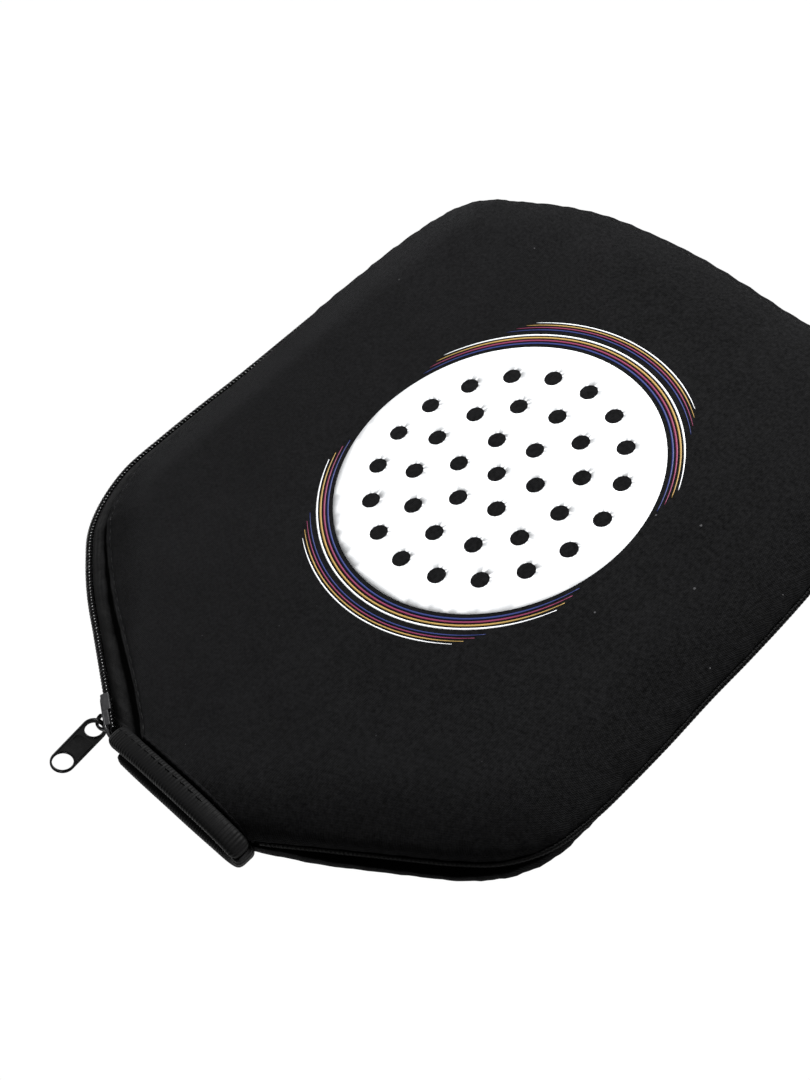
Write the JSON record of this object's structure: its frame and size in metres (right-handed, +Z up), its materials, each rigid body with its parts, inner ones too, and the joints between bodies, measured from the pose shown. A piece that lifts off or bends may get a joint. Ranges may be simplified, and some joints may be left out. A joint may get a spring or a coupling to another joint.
{
  "type": "zip-up paddle cover",
  "caption": "Soft zip-up cover for a racket-sport paddle: two neoprene panels, a coil zipper round one side and top, and a bound open mouth for the handle.",
  "frame": {"origin": "middle of the flat rest face under the back panel", "axes": "+Z up through the thickness from the back panel to the printed front panel, +Y from the open mouth to the closed top, zipper on the -X side and sewn seam on the +X side"},
  "size_m": [0.2169, 0.2556, 0.0248],
  "materials": {
    "neoprene": "black knit-faced foam, matte",
    "lining": "black brushed knit",
    "zipper_tape": "black woven tape",
    "zipper_coil": "black nylon coil",
    "slider_paint": "semi-gloss black enamel",
    "pull_tab": "gloss black enamel",
    "stop_metal": "black enamel",
    "binding": "black ribbed elastic",
    "thread": "black polyester thread"
  },
  "bodies": {
    "root": {"back_panel": "neoprene", "back_lining": "lining", "back_zipper_tape": "zipper_tape", "back_coil": "zipper_coil", "back_top_stop": "stop_metal", "bottom_stop": "stop_metal", "back_mouth_binding": "binding", "side_seam_thread": "thread", "back_tape_stitching": "thread", "zipper_end_tack": "thread", "front_panel_seam_side": "neoprene", "front_lining_seam_side": "lining"},
    "flap": {"front_panel": "neoprene", "front_lining": "lining", "front_zipper_tape": "zipper_tape", "front_coil": "zipper_coil", "front_top_stop": "stop_metal", "front_mouth_binding": "binding", "front_mouth_hem": "binding", "binding_stitches": "thread", "front_tape_stitching": "thread"},
    "slider": {"slider_body": "slider_paint", "slider_crown": "slider_paint"},
    "tab": {"pull_tab": "pull_tab"}
  },
  "joints": [
    {"name": "front_opening", "type": "hinge", "parent": "root", "child": "flap", "pos_m": [0.038, -0.12, 0.023], "axis": [0.2095, 0.9778, 0], "range_deg": [0, 100]},
    {"name": "slider_travel", "type": "slide", "parent": "root", "child": "slider", "axis": [-0.8712, 0.4909, 0], "range_m": [0, 0.04]},
    {"name": "tab_swing", "type": "hinge", "parent": "slider", "child": "tab", "pos_m": [-0.03287, -0.11411, 0.0115], "axis": [0, 0, 1], "range_deg": [-60, 25]}
  ]
}
